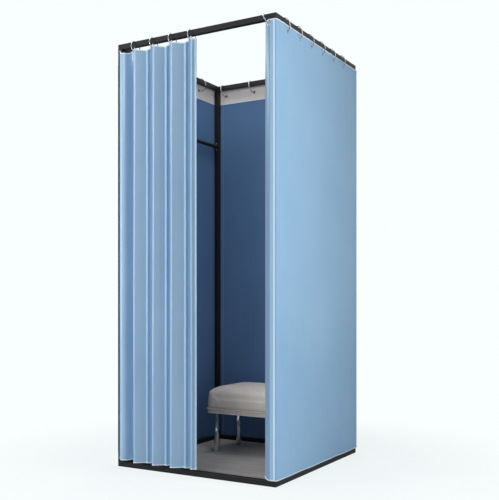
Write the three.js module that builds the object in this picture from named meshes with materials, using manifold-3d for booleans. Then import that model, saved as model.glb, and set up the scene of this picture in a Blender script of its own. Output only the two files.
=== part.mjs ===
// A portable fitting room: a square steel tube frame with an open top, cloth walls and a pleated
// curtain hung from wire rings, a clothes rail, an upholstered stool and a floor mat.
// Millimetres, +Z up. The origin is the middle of the frame's footprint, on the floor; the front is -Y.
import * as THREE from "three";
import { mergeVertices } from "three/addons/utils/BufferGeometryUtils.js";
import Module from "manifold-3d";

// Frame of square tube
const frameWidth = 850;
const frameDepth = 875;
const frameHeight = 2000;
const tubeSide = 25;
const tubeWall = 1.2;
const tubeCornerRadius = 2.5;
const spigotLength = 40;
const spigotClearance = 0.3;
// Gap between two pieces that touch
const seatGap = 0.3;

// Wire rings over the top rails
const ringBore = 62;
const ringWire = 4;
const ringLeanDegrees = 12;
const flapRingLeanDegrees = 30;

// Eyelets in the cloth, from the frame's outer faces
const eyeletBore = 10;
const sideEyeletFrontMargin = 94.5;
const sideEyeletRearMargin = 180.5;
const rearEyeletMargin = 61;
const flapEyeletMargin = 31;
const firstEyeletInset = 102.5;
const eyeletPitch = 106;

// Cloth
const clothThickness = 1.3;
const clothStandOff = 4.5;
const clothCornerGap = 0.6;
const clothTopDrop = 2;
const clothBottomRise = 1.5;
const flapReach = 46.5;
const rearReturnReach = 40;
const rearPanelInset = 4;
const leftPanelFrontInset = 8.5;
// How far the rear and left walls lap over the outside of their rails
const railLap = 3.5;

// Curtain
const curtainEdgeInset = 11.5;
const curtainHemRise = 13.5;
const endStripWidth = 44;
const foldDepth = 47;
const foldDepthAtTop = 46;
const firstFoldDepth = 30;
const endFoldDepth = 30;
const valleyDepth = 24;
const topEdgeSag = 34;

// Clothes rail on the left side
const clothesRailDiameter = 18;
const clothesRailDrop = 342;
const bracketHeight = 44;
const bracketPlate = 2.5;
const bracketCornerRadius = 4;
const collarWall = 2.7;
const collarDepth = 14;
const collarClearance = 0.3;

// Floor mat
const matThickness = 4;
const matClearance = 0.6;

// Stool
const stoolWidth = 490;
const stoolDepth = 320;
const stoolRearSetback = 85;
const stoolCornerRadius = 38;
const seatBaseHeight = 22;
const seatBaseInset = 3;
const cushionHeight = 122;
const legDiameter = 28;
const legHeight = 204;
const legInsetAlong = 45;
const legInsetAcross = 51;
const legFlangeDiameter = 48;
const legFlangeThickness = 3;
const legFootChamfer = 1.5;

// Counts and facets
const sideRingCount = 6;
const rearRingCount = 5;
const curtainRingCount = 4;
const ringSteps = 20;
const wireSides = 6;
const cornerSteps = 3;
const spigotSteps = 1;
const wrapSteps = 6;
const holeSides = 12;
const roundSides = 20;
const foldStepsPerPleat = 22;

// One pleat from an eyelet to the next, in shares: along its width, out of the fold's depth, back of the
// valley's depth, and down of the top edge's sag.
const pleatShares = [
  [0.0, 0.0, 1.0, 0.1],
  [0.06, 0.01, 0.9, 0.4],
  [0.13, 0.05, 0.55, 0.65],
  [0.2, 0.3, 0.15, 0.78],
  [0.265, 0.72, 0.0, 0.86],
  [0.305, 0.935, 0.0, 0.89],
  [0.34, 0.99, 0.0, 0.91],
  [0.37, 1.0, 0.0, 0.92],
  [0.4, 0.99, 0.0, 0.93],
  [0.45, 0.93, 0.0, 0.94],
  [0.51, 0.84, 0.0, 0.96],
  [0.6, 0.68, 0.0, 0.98],
  [0.68, 0.47, 0.0, 1.0],
  [0.75, 0.25, 0.1, 1.0],
  [0.795, 0.25, 0.1, 1.0],
  [0.835, 0.46, 0.0, 1.0],
  [0.875, 0.53, 0.0, 0.97],
  [0.91, 0.3, 0.1, 0.85],
  [0.935, 0.08, 0.45, 0.7],
  [0.96, 0.0, 0.85, 0.45],
  [1.0, 0.0, 1.0, 0.1],
];
const crestShare = 0.37;

// The fold from the fixed edge to the first eyelet, in the same shares of its own width and depth.
const firstPleatShares = [
  [0.0, 0.0, 0.0, 0.1],
  [0.08, 0.06, 0.0, 0.3],
  [0.17, 0.42, 0.0, 0.6],
  [0.27, 0.86, 0.0, 0.72],
  [0.38, 1.0, 0.0, 0.8],
  [0.52, 0.9, 0.0, 0.85],
  [0.66, 0.62, 0.0, 0.87],
  [0.78, 0.3, 0.1, 0.85],
  [0.87, 0.08, 0.45, 0.7],
  [0.94, 0.01, 0.8, 0.4],
  [1.0, 0.0, 1.0, 0.1],
];

// The strip from the last eyelet to the leading edge, in the same shares of its own width and depth.
const endStripShares = [
  [0.0, 0.0, 1.0, 0.1],
  [0.12, 0.02, 0.8, 0.3],
  [0.22, 0.3, 0.3, 0.5],
  [0.32, 0.76, 0.0, 0.65],
  [0.42, 1.0, 0.0, 0.75],
  [0.52, 0.92, 0.0, 0.8],
  [0.65, 0.7, 0.0, 0.8],
  [0.8, 0.6, 0.0, 0.8],
  [0.9, 0.66, 0.0, 0.8],
  [1.0, 0.6, 0.0, 0.8],
];

// The levels at which the curtain's folds are drawn, in shares: up its height, and of the valley's depth.
const curtainLevelShares = [
  [0.0, 1.0],
  [0.35, 1.0],
  [0.7, 0.9],
  [0.9, 0.4],
  [0.962, 0.0],
  [1.0, 0.0],
];

// The cushion's skin from its bottom edge to its middle, as shares of its outline and of its height.
const cushionShares = [
  [0.985, 0.0],
  [1.0, 0.07],
  [1.0, 0.3],
  [0.998, 0.5],
  [0.988, 0.64],
  [0.962, 0.75],
  [0.91, 0.83],
  [0.81, 0.9],
  [0.62, 0.96],
  [0.35, 0.992],
  [0.08, 1.0],
];

// Sizes that follow from the ones above
const railInset = tubeSide / 2;
const frameRight = frameWidth / 2;
const frameRear = frameDepth / 2;
const railRight = frameRight - railInset;
const railRear = frameRear - railInset;
const tubeBore = tubeSide - 2 * tubeWall;
const tubeBoreRadius = tubeCornerRadius - tubeWall;
const spigotSide = tubeBore - 2 * spigotClearance;
const spigotCornerRadius = Math.max(tubeBoreRadius - spigotClearance, 0);
const ringRadius = (ringBore + ringWire) / 2;
const ringLean = THREE.MathUtils.degToRad(ringLeanDegrees);
const flapRingLean = THREE.MathUtils.degToRad(flapRingLeanDegrees);
const clothOut = railInset + clothStandOff + clothThickness / 2;
const rearClothOut = clothOut + clothThickness + seatGap;
const clothBottom = tubeSide + clothBottomRise;
const clothTop = frameHeight - tubeSide - clothTopDrop;
const curtainBottom = tubeSide + curtainHemRise;
const lapBottom = tubeSide - railLap;
const lapTop = frameHeight - tubeSide + railLap;
// The largest bend that still clears the post's rounded edge.
const wrapReach = Math.SQRT2 * (clothStandOff + tubeCornerRadius) - tubeCornerRadius - clothCornerGap;
const wrapRadius = wrapReach / (Math.SQRT2 - 1) + clothThickness / 2;
const clothesRailHeight = frameHeight - clothesRailDrop;
const matWidth = frameWidth - 2 * tubeSide - 2 * matClearance;
const matDepth = frameDepth - 2 * tubeSide - 2 * matClearance;

const blackSteel = new THREE.MeshStandardMaterial({ color: "#17181a", roughness: 0.42, metalness: 0.2 });
const ringSteel = new THREE.MeshStandardMaterial({ color: "#c9cbcd", roughness: 0.25, metalness: 1 });
const curtainCloth = new THREE.MeshStandardMaterial({ color: "#8cb2d4", roughness: 0.85, metalness: 0 });
const wallCloth = new THREE.MeshStandardMaterial({ color: "#8cb2d4", roughness: 0.85, metalness: 0 });
const chrome = new THREE.MeshStandardMaterial({ color: "#d5d7d9", roughness: 0.12, metalness: 1 });
const upholstery = new THREE.MeshStandardMaterial({ color: "#96908a", roughness: 0.8, metalness: 0 });
const carpet = new THREE.MeshStandardMaterial({ color: "#78736f", roughness: 0.95, metalness: 0 });

const wasm = await Module();
wasm.setup();

// A closed geometry as a solid that can be joined and cut.
function solidOf(geometry) {
  const bare = geometry.clone();
  bare.deleteAttribute("normal");
  bare.deleteAttribute("uv");
  const merged = mergeVertices(bare);
  const vertProperties = merged.attributes.position.array;
  const triVerts = Uint32Array.from(merged.index.array);
  return new wasm.Manifold(new wasm.Mesh({ numProp: 3, vertProperties, triVerts }));
}

// A solid as a flat-shaded geometry.
function geometryOf(solid) {
  const mesh = solid.getMesh();
  const indexed = new THREE.BufferGeometry();
  indexed.setAttribute("position", new THREE.BufferAttribute(mesh.vertProperties, mesh.numProp));
  indexed.setIndex(new THREE.BufferAttribute(mesh.triVerts, 1));
  const geometry = indexed.toNonIndexed();
  geometry.computeVertexNormals();
  return geometry;
}

function addMesh(parent, name, geometry, material) {
  const mesh = new THREE.Mesh(geometry, material);
  mesh.name = name;
  parent.add(mesh);
  return mesh;
}

// A rectangle with round corners, centred on its origin, drawn into a shape or a hole.
function drawRoundedRectangle(path, width, height, radius) {
  const across = width / 2 - radius;
  const up = height / 2 - radius;
  path.absarc(across, up, radius, 0, Math.PI / 2);
  path.absarc(-across, up, radius, Math.PI / 2, Math.PI);
  path.absarc(-across, -up, radius, Math.PI, 1.5 * Math.PI);
  path.absarc(across, -up, radius, 1.5 * Math.PI, 2 * Math.PI);
  path.closePath();
  return path;
}

// A straight bar of one section, along Z and centred on its origin.
function barOf(shape, length, curveSegments) {
  const geometry = new THREE.ExtrudeGeometry(shape, { depth: length, bevelEnabled: false, curveSegments });
  geometry.translate(0, 0, -length / 2);
  return geometry;
}

// An outline seen from above as points at one height.
function atHeight(outline, height) {
  return outline.map((point) => new THREE.Vector3(point.x, point.y, height));
}

// A closed skin through matching rings of points, from the lowest to the highest, closed at each end.
function loft(sections) {
  const count = sections[0].length;
  const positions = sections.flat().flatMap((point) => point.toArray());
  const index = [];
  for (let level = 0; level + 1 < sections.length; level += 1) {
    for (let step = 0; step < count; step += 1) {
      const here = level * count + step;
      const next = level * count + ((step + 1) % count);
      index.push(here, next, next + count);
      index.push(here, next + count, here + count);
    }
  }
  const last = sections.length - 1;
  for (const [a, b, c] of THREE.ShapeUtils.triangulateShape(sections[0], [])) {
    index.push(a, c, b);
  }
  for (const [a, b, c] of THREE.ShapeUtils.triangulateShape(sections[last], [])) {
    index.push(last * count + a, last * count + b, last * count + c);
  }
  const geometry = new THREE.BufferGeometry();
  geometry.setAttribute("position", new THREE.Float32BufferAttribute(positions, 3));
  geometry.setIndex(index);
  return geometry;
}

// The closed outline of a strip of cloth seen from above, from the points of its middle line.
function clothOutline(middle) {
  const nearSide = [];
  const farSide = [];
  middle.forEach((point, step) => {
    const before = middle[Math.max(step - 1, 0)];
    const after = middle[Math.min(step + 1, middle.length - 1)];
    const along = after.clone().sub(before).normalize();
    const offset = new THREE.Vector2(-along.y, along.x).multiplyScalar(clothThickness / 2);
    nearSide.push(point.clone().sub(offset));
    farSide.push(point.clone().add(offset));
  });
  return [...nearSide, ...farSide.reverse()];
}

// How a ring hangs that leans along its rail: its middle's height, how far its middle stays behind
// the eyelet along the rail, and the height of the eyelet's middle in cloth at this distance out.
function hangOf(out, lean) {
  const cornerRadius = tubeCornerRadius / Math.cos(lean);
  const reach = ringBore / 2 - cornerRadius - seatGap;
  const drop = cornerRadius + Math.sqrt(reach ** 2 - (railInset - tubeCornerRadius) ** 2);
  const below = Math.sqrt(ringRadius ** 2 - out ** 2);
  const slope = (out * Math.cos(lean)) / below;
  const wireRise = (ringWire / 2) * Math.hypot(1, slope) + slope * (clothThickness / 2);
  const facetRise = ringRadius * (1 - Math.cos(Math.PI / ringSteps));
  const wireHeight = frameHeight - (drop + below) * Math.cos(lean) + facetRise;
  return {
    middleHeight: frameHeight - drop * Math.cos(lean),
    middleBehind: below * Math.sin(lean),
    eyeletHeight: wireHeight + wireRise + seatGap - eyeletBore / 2,
  };
}

// The cylinder that cuts an eyelet's hole, through cloth that faces X or Y.
function eyeletCutter(x, y, out, lean, facing) {
  const bore = new THREE.CylinderGeometry(eyeletBore / 2, eyeletBore / 2, eyeletBore, holeSides);
  if (facing === "x") {
    bore.rotateZ(Math.PI / 2);
  }
  bore.translate(x, y, hangOf(out, lean).eyeletHeight);
  return solidOf(bore);
}

const room = new THREE.Group();

// The frame's twelve tubes, each between two corner pieces.
const tubeSection = drawRoundedRectangle(new THREE.Shape(), tubeSide, tubeSide, tubeCornerRadius);
tubeSection.holes.push(drawRoundedRectangle(new THREE.Path(), tubeBore, tubeBore, tubeBoreRadius));

function tubeAlong(size) {
  return barOf(tubeSection, size - 2 * tubeSide - 2 * seatGap, cornerSteps);
}

const levels = [
  { name: "base_rail", z: railInset },
  { name: "top_rail", z: frameHeight - railInset },
];
for (const level of levels) {
  for (const [side, y] of [["front", -railRear], ["rear", railRear]]) {
    const rail = addMesh(room, `${side}_${level.name}`, tubeAlong(frameWidth), blackSteel);
    rail.rotation.y = Math.PI / 2;
    rail.position.set(0, y, level.z);
  }
  for (const [side, x] of [["left", -railRight], ["right", railRight]]) {
    const rail = addMesh(room, `${side}_${level.name}`, tubeAlong(frameDepth), blackSteel);
    rail.rotation.x = Math.PI / 2;
    rail.position.set(x, 0, level.z);
  }
}

// The corner piece has a head flush with the tubes and a spigot into each of the three.
function cornerGeometry(towardX, towardY, towardZ) {
  const headSection = drawRoundedRectangle(new THREE.Shape(), tubeSide, tubeSide, tubeCornerRadius);
  const reach = railInset + seatGap + spigotLength;
  const spigotSection = drawRoundedRectangle(new THREE.Shape(), spigotSide, spigotSide, spigotCornerRadius);
  const head = barOf(headSection, tubeSide, cornerSteps);
  const spigot = barOf(spigotSection, reach, spigotSteps);
  spigot.translate(0, 0, (reach / 2) * towardZ);
  const headAlongX = head.clone().rotateY(Math.PI / 2);
  const headAlongY = head.clone().rotateX(Math.PI / 2);
  const spigotAlongX = barOf(spigotSection, reach, spigotSteps).rotateY(Math.PI / 2);
  spigotAlongX.translate((reach / 2) * towardX, 0, 0);
  const spigotAlongY = barOf(spigotSection, reach, spigotSteps).rotateX(Math.PI / 2);
  spigotAlongY.translate(0, (reach / 2) * towardY, 0);
  const rounded = solidOf(head).intersect(solidOf(headAlongX)).intersect(solidOf(headAlongY));
  return geometryOf(rounded.add(solidOf(spigot)).add(solidOf(spigotAlongX)).add(solidOf(spigotAlongY)));
}

for (const [depthName, y] of [["front", -railRear], ["rear", railRear]]) {
  for (const [widthName, x] of [["left", -railRight], ["right", railRight]]) {
    const post = addMesh(room, `${depthName}_${widthName}_post`, tubeAlong(frameHeight), blackSteel);
    post.position.set(x, y, frameHeight / 2);
    for (const [heightName, z] of [["bottom", railInset], ["top", frameHeight - railInset]]) {
      const shape = cornerGeometry(-Math.sign(x), -Math.sign(y), heightName === "top" ? -1 : 1);
      const corner = addMesh(room, `${heightName}_${depthName}_${widthName}_corner`, shape, blackSteel);
      corner.position.set(x, y, z);
    }
  }
}

// A ring hangs on the two upper edges of its rail and leans along it, through an eyelet at this place.
function addRing(name, eyelet, rail, out, lean, railAlong) {
  const shape = new THREE.TorusGeometry(ringRadius, ringWire / 2, wireSides, ringSteps);
  const ring = addMesh(room, name, shape, ringSteel);
  const hang = hangOf(out, lean);
  const middle = eyelet - hang.middleBehind;
  if (railAlong === "x") {
    ring.position.set(middle, rail, hang.middleHeight);
    ring.rotation.y = Math.PI / 2 - lean;
  } else {
    ring.position.set(rail, middle, hang.middleHeight);
    ring.rotation.x = Math.PI / 2 + lean;
  }
}

// Evenly spaced places between a margin at each end of a length.
function placesBetween(length, firstMargin, lastMargin, count) {
  const pitch = (length - firstMargin - lastMargin) / (count - 1);
  return Array.from({ length: count }, (_, place) => -length / 2 + firstMargin + place * pitch);
}

const sideEyelets = placesBetween(frameDepth, sideEyeletFrontMargin, sideEyeletRearMargin, sideRingCount);
const rearEyelets = placesBetween(frameWidth, rearEyeletMargin, rearEyeletMargin, rearRingCount);
const curtainEyelets = Array.from(
  { length: curtainRingCount },
  (_, ring) => -frameRight + firstEyeletInset + ring * eyeletPitch,
);
const flapEyelet = frameRight - flapEyeletMargin;

sideEyelets.forEach((y, ring) => {
  addRing(`right_ring_${ring + 1}`, y, railRight, clothOut, ringLean, "y");
  addRing(`left_ring_${ring + 1}`, y, -railRight, clothOut, ringLean, "y");
});
rearEyelets.forEach((x, ring) => {
  addRing(`rear_ring_${ring + 1}`, x, railRear, rearClothOut, ringLean, "x");
});
curtainEyelets.forEach((x, ring) => {
  addRing(`curtain_ring_${ring + 1}`, x, -railRear, clothOut, ringLean, "x");
});
addRing("flap_ring", flapEyelet, -railRear, clothOut, flapRingLean, "x");

// The points of a quarter bend round a post, from one angle to the other.
function wrapPoints(x, y, from, to) {
  return Array.from({ length: wrapSteps + 1 }, (_, step) => {
    const angle = from + ((to - from) * step) / wrapSteps;
    return new THREE.Vector2(x + wrapRadius * Math.cos(angle), y + wrapRadius * Math.sin(angle));
  });
}

// A flat wall of cloth from the middle line of its plan and its two heights, with its eyelets cut.
function wallGeometry(middle, bottom, top, cutters) {
  const outline = clothOutline(middle);
  const wall = solidOf(loft([atHeight(outline, bottom), atHeight(outline, top)]));
  return geometryOf(cutters.reduce((cloth, cutter) => cloth.subtract(cutter), wall));
}

const wallRight = railRight + clothOut;
const wallFront = -railRear - clothOut;
const wallRear = railRear + clothOut;

// The right wall turns round the front post as a flap and round the rear post as a short return.
const rightMiddle = [
  new THREE.Vector2(frameRight - flapReach, wallFront),
  ...wrapPoints(wallRight - wrapRadius, wallFront + wrapRadius, -Math.PI / 2, 0),
  ...wrapPoints(wallRight - wrapRadius, wallRear - wrapRadius, 0, Math.PI / 2),
  new THREE.Vector2(frameRight - rearReturnReach, wallRear),
];
const rightCutters = sideEyelets.map((y) => eyeletCutter(wallRight, y, clothOut, ringLean, "x"));
rightCutters.push(eyeletCutter(flapEyelet, wallFront, clothOut, flapRingLean, "y"));
addMesh(room, "right_wall", wallGeometry(rightMiddle, clothBottom, clothTop, rightCutters), wallCloth);

const leftMiddle = [
  new THREE.Vector2(-frameRight + rearReturnReach, wallRear),
  ...wrapPoints(-wallRight + wrapRadius, wallRear - wrapRadius, Math.PI / 2, Math.PI),
  new THREE.Vector2(-wallRight, -frameRear + leftPanelFrontInset),
];
const leftCutters = sideEyelets.map((y) => eyeletCutter(-wallRight, y, clothOut, ringLean, "x"));
addMesh(room, "left_wall", wallGeometry(leftMiddle, lapBottom, lapTop, leftCutters), wallCloth);

// The rear wall lies over the two returns.
const rearWall = railRear + rearClothOut;
const rearMiddle = [
  new THREE.Vector2(frameRight - rearPanelInset, rearWall),
  new THREE.Vector2(-frameRight + rearPanelInset, rearWall),
];
const rearCutters = rearEyelets.map((x) => eyeletCutter(x, rearWall, rearClothOut, ringLean, "y"));
addMesh(room, "rear_wall", wallGeometry(rearMiddle, lapBottom, lapTop, rearCutters), wallCloth);

// Table points from a start along the rail: their places in plan, and how far their top edge hangs down.
function foldPoints(shares, start, width, depth, valley) {
  return shares.map(([along, out, back, down]) => {
    const y = wallFront - out * depth + back * valley;
    return new THREE.Vector3(start + along * width, y, down * topEdgeSag);
  });
}

const risingShares = pleatShares.filter(([along]) => along <= crestShare);
const fallingShares = pleatShares.filter(([along]) => along >= crestShare);

// The middle line of the cloth on one ring, from crest to crest, or to the edge at either end.
function curtainMiddle(ring, depth, valley) {
  const place = curtainEyelets[ring];
  const edge = -frameRight + curtainEdgeInset;
  const isFirst = ring === 0;
  const isLast = ring === curtainRingCount - 1;
  const before = isFirst
    ? foldPoints(firstPleatShares, edge, place - edge, firstFoldDepth, valley)
    : foldPoints(fallingShares, place - eyeletPitch, eyeletPitch, depth, valley);
  const after = isLast
    ? foldPoints(endStripShares, place, endStripWidth, endFoldDepth, valley)
    : foldPoints(risingShares, place, eyeletPitch, depth, valley);
  if (!isFirst) {
    before[0].x += seatGap / 2;
  }
  if (!isLast) {
    after[after.length - 1].x -= seatGap / 2;
  }
  const controls = [...before, ...after.slice(1)];
  const width = controls[controls.length - 1].x - controls[0].x;
  const steps = Math.round((foldStepsPerPleat * width) / eyeletPitch);
  return new THREE.CatmullRomCurve3(controls, false, "catmullrom", 0.5).getPoints(steps);
}

// The curtain's outline at one level. At the top level its edge hangs down between the rings.
function curtainSection(ring, [up, valleyShare]) {
  const depth = THREE.MathUtils.lerp(foldDepth, foldDepthAtTop, up);
  const middle = curtainMiddle(ring, depth, valleyShare * valleyDepth);
  const outline = clothOutline(middle.map((point) => new THREE.Vector2(point.x, point.y)));
  const sags = middle.map((point) => (up < 1 ? 0 : point.z));
  const outlineSags = [...sags, ...sags.toReversed()];
  const height = THREE.MathUtils.lerp(curtainBottom, clothTop, up);
  return outline.map((point, step) => new THREE.Vector3(point.x, point.y, height - outlineSags[step]));
}

curtainEyelets.forEach((place, ring) => {
  const cloth = solidOf(loft(curtainLevelShares.map((level) => curtainSection(ring, level))));
  const cutter = eyeletCutter(place, wallFront, clothOut, ringLean, "y");
  addMesh(room, `curtain_${ring + 1}`, geometryOf(cloth.subtract(cutter)), curtainCloth);
});

// The clothes rail runs between the two left posts, in a collar at each end.
const collarBore = clothesRailDiameter + 2 * collarClearance;
const collarDiameter = collarBore + 2 * collarWall;
const postFace = frameRear - tubeSide;
const bracketStart = postFace - seatGap;
const clothesRailLength = 2 * (bracketStart - bracketPlate - seatGap);

function bracketGeometry() {
  const plateShape = new THREE.Shape();
  drawRoundedRectangle(plateShape, tubeSide, bracketHeight, bracketCornerRadius);
  const plate = barOf(plateShape, bracketPlate, cornerSteps);
  plate.translate(0, 0, bracketPlate / 2);
  const collarShape = new THREE.Shape().absarc(0, 0, collarDiameter / 2, 0, 2 * Math.PI);
  collarShape.holes.push(new THREE.Path().absarc(0, 0, collarBore / 2, 0, 2 * Math.PI));
  const collarLength = bracketPlate / 2 + collarDepth;
  const collar = barOf(collarShape, collarLength, roundSides);
  collar.translate(0, 0, bracketPlate / 2 + collarLength / 2);
  return geometryOf(solidOf(plate).add(solidOf(collar)));
}

const clothesRailRadius = clothesRailDiameter / 2;
const clothesRailShape = new THREE.CylinderGeometry(
  clothesRailRadius,
  clothesRailRadius,
  clothesRailLength,
  roundSides,
);
const clothesRail = addMesh(room, "clothes_rail", clothesRailShape, blackSteel);
clothesRail.position.set(-railRight, 0, clothesRailHeight);
for (const [side, towardRear] of [["front", 1], ["rear", -1]]) {
  const bracket = addMesh(room, `clothes_rail_bracket_${side}`, bracketGeometry(), blackSteel);
  bracket.position.set(-railRight, -towardRear * bracketStart, clothesRailHeight);
  bracket.rotation.x = (-towardRear * Math.PI) / 2;
}

// The mat lies on the floor inside the base rails.
const mat = addMesh(room, "floor_mat", new THREE.BoxGeometry(matWidth, matDepth, matThickness), carpet);
mat.position.set(0, 0, matThickness / 2);

// The stool stands on the mat: four legs, a seat base and a crowned cushion.
const stool = new THREE.Group();
const stoolPlace = frameRear - stoolRearSetback - stoolDepth / 2;
stool.position.set(0, stoolPlace, matThickness + seatGap);
room.add(stool);

const legRadius = legDiameter / 2;
const legFlangeRadius = legFlangeDiameter / 2;
const legProfile = [
  new THREE.Vector2(0, 0),
  new THREE.Vector2(legRadius - legFootChamfer, 0),
  new THREE.Vector2(legRadius, legFootChamfer),
  new THREE.Vector2(legRadius, legHeight - legFlangeThickness),
  new THREE.Vector2(legFlangeRadius, legHeight - legFlangeThickness),
  new THREE.Vector2(legFlangeRadius, legHeight),
  new THREE.Vector2(0, legHeight),
];
const legAcross = stoolWidth / 2 - legInsetAlong;
const legAlong = stoolDepth / 2 - legInsetAcross;
for (const [depthName, y] of [["front", -legAlong], ["rear", legAlong]]) {
  for (const [widthName, x] of [["left", -legAcross], ["right", legAcross]]) {
    const legShape = new THREE.LatheGeometry(legProfile, roundSides).rotateX(Math.PI / 2);
    const leg = addMesh(stool, `stool_leg_${depthName}_${widthName}`, legShape, chrome);
    leg.position.set(x, y, 0);
  }
}

const baseWidth = stoolWidth - 2 * seatBaseInset;
const baseDepth = stoolDepth - 2 * seatBaseInset;
const baseRadius = stoolCornerRadius - seatBaseInset;
const baseShape = drawRoundedRectangle(new THREE.Shape(), baseWidth, baseDepth, baseRadius);
const seatBase = addMesh(stool, "stool_seat_base", barOf(baseShape, seatBaseHeight, wrapSteps), upholstery);
const seatBaseBottom = legHeight + seatGap;
seatBase.position.set(0, 0, seatBaseBottom + seatBaseHeight / 2);

const cushionShape = drawRoundedRectangle(new THREE.Shape(), stoolWidth, stoolDepth, stoolCornerRadius);
const cushionOutline = cushionShape.getPoints(wrapSteps).slice(0, -1);
const cushionSections = cushionShares.map(([share, up]) =>
  atHeight(
    cushionOutline.map((point) => point.clone().multiplyScalar(share)),
    up * cushionHeight,
  ),
);
const cushion = addMesh(stool, "stool_cushion", loft(cushionSections), upholstery);
cushion.geometry.computeVertexNormals();
cushion.position.set(0, 0, seatBaseBottom + seatBaseHeight + seatGap);

export default room;
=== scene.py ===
import math

import bpy
import numpy as np
from mathutils import Euler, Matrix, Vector


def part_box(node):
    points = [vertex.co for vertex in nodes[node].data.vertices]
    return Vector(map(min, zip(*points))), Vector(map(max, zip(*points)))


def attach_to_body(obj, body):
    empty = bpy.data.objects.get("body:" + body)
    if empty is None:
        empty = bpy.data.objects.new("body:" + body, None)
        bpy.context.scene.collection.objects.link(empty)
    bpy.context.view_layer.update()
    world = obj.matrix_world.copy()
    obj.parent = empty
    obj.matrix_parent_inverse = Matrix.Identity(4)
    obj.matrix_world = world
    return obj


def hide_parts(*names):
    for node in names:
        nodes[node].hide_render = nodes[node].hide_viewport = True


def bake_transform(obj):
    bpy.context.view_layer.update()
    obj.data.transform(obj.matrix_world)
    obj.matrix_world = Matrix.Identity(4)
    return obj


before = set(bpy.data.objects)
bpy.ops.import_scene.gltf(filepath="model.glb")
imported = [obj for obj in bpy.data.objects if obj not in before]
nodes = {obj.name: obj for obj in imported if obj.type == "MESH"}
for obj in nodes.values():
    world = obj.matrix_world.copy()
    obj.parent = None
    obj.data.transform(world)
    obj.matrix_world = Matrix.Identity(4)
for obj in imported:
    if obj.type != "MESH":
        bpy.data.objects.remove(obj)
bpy.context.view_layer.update()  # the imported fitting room: metres, +Z up, the doorway faces -Y
scene = bpy.context.scene
print("frame loaded:", len(nodes), "nodes")


# helpers: colours, shader nodes, meshes and node trees

def linear(hexColour):  # an sRGB hex value as linear light
    channels = [int(hexColour[i:i + 2], 16) / 255 for i in (1, 3, 5)]
    return (*(c / 12.92 if c <= 0.04045 else ((c + 0.055) / 1.055) ** 2.4 for c in channels), 1.0)


def addNode(tree, kind, inputs=None, **settings):  # an input takes a value, a socket or a node's first output
    node = tree.nodes.new(kind)
    for name, value in settings.items():
        setattr(node, name, value)
    for name, value in (inputs or {}).items():
        if isinstance(value, bpy.types.Node):
            value = value.outputs[0]
        if isinstance(value, bpy.types.NodeSocket):
            tree.links.new(value, node.inputs[name])
        else:
            node.inputs[name].default_value = value
    return node


def startMaterial(name):
    material = bpy.data.materials.new(name)
    material.use_nodes = True
    material.node_tree.nodes.clear()
    return material, material.node_tree


def endMaterial(tree, look, colours, tone, span, normal):  # the first colour turns into the second over the tone's span
    share = addNode(tree, "ShaderNodeMapRange", {"Value": tone, "From Min": span[0], "From Max": span[1]})
    mix = addNode(tree, "ShaderNodeMix", {0: share, 6: linear(colours[0]), 7: linear(colours[1])}, data_type="RGBA")
    shader = addNode(tree, "ShaderNodeBsdfPrincipled", {**look, "Base Color": mix.outputs[2], "Normal": normal})
    addNode(tree, "ShaderNodeOutputMaterial", {"Surface": shader})


def addNoise(tree, place, size, detail, roughness=0.5):  # size in metres
    return addNode(tree, "ShaderNodeTexNoise",
                   {"Scale": 1 / size, "Detail": detail, "Roughness": roughness, "Vector": place})


def addBump(tree, height, strength, distance, **more):  # distance in metres
    return addNode(tree, "ShaderNodeBump", {"Strength": strength, "Distance": distance, "Height": height, **more})


def unit(vectors):
    return vectors / np.linalg.norm(vectors, axis=-1, keepdims=True)


def smoothStep(x):
    x = np.clip(x, 0, 1)
    return x * x * (3 - 2 * x)


def alongRows(rows, t):  # a smooth curve through a table's rows, at places counted in rows
    rows = np.vstack([2 * rows[0] - rows[1], rows, 2 * rows[-1] - rows[-2]])
    row = np.clip(np.floor(t).astype(int), 0, len(rows) - 4)
    f = (t - row)[..., None]
    a, b, c, d = (rows[row + i] for i in range(4))
    return b + 0.5 * f * (c - a + f * (2 * a - 5 * b + 4 * c - d + f * (3 * (b - c) + d - a)))


def middleOf(node):
    low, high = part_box(node)
    return (low + high) / 2


def attach(body, slot, *pieces):
    for piece in pieces:
        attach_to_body(piece, body)


def showMesh(name, mesh, sharpAngle=40):
    mesh.polygons.foreach_set("use_smooth", np.ones(len(mesh.polygons), bool))
    mesh.set_sharp_from_angle(angle=math.radians(sharpAngle))
    mesh.update()
    piece = bpy.data.objects.new(name, mesh)
    scene.collection.objects.link(piece)
    return piece


def meshPiece(name, vertices, faces, materials, slots=None, uvs=None, sharpAngle=40):
    mesh = bpy.data.meshes.new(name)
    mesh.from_pydata(np.asarray(vertices).tolist(), [], [tuple(int(i) for i in face) for face in faces])
    for material in materials:
        mesh.materials.append(material)
    if slots is not None:
        mesh.polygons.foreach_set("material_index", np.asarray(slots, np.int32))
    if uvs is not None:
        corners = np.zeros(len(mesh.loops), np.int32)
        mesh.loops.foreach_get("vertex_index", corners)
        layer = mesh.uv_layers.new(name="cloth")
        layer.data.foreach_set("uv", np.asarray(uvs, np.float32)[corners].ravel())
    return showMesh(name, mesh, sharpAngle)


def loftFaces(levels, count):  # a closed skin over loops of points, one loop a level: sides, first end, last end
    sides = [(level * count + i, level * count + (i + 1) % count,
              (level + 1) * count + (i + 1) % count, (level + 1) * count + i)
             for level in range(levels - 1) for i in range(count)]
    return sides + [tuple(reversed(range(count))), tuple(range((levels - 1) * count, levels * count))]


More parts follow.
